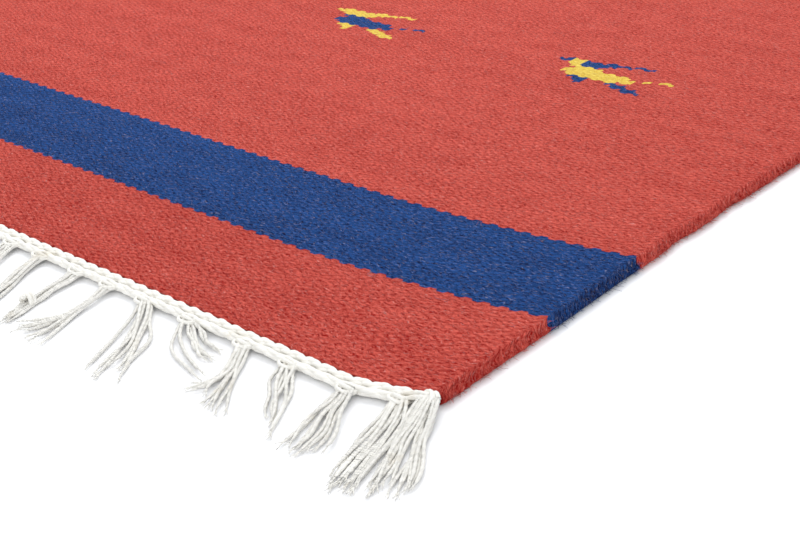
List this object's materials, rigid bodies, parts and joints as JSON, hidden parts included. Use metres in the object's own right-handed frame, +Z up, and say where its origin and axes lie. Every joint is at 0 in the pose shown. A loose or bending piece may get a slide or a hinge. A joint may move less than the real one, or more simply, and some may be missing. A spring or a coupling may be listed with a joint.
{
  "type": "kilim rug",
  "caption": "Flat-woven wool rug with end bands, small woven animals, rounded selvedges, plaited ends and a knotted cotton fringe.",
  "frame": {"origin": "on the floor under the middle of the rug", "axes": "+Z up from the floor, Y along the warps with the detailed fringe end at -Y, X across the wefts"},
  "size_m": [0.9586, 1.6394, 0.0053],
  "materials": {
    "woven_wool": "matt weft-faced wool",
    "cotton_cord": "matt undyed plied cotton"
  },
  "bodies": {
    "root": {"rug_body": "woven_wool", "edge_plait_near": "cotton_cord", "edge_plait_far": "cotton_cord", "fringe_near": "cotton_cord", "fringe_far": "cotton_cord"}
  },
  "joints": []
}
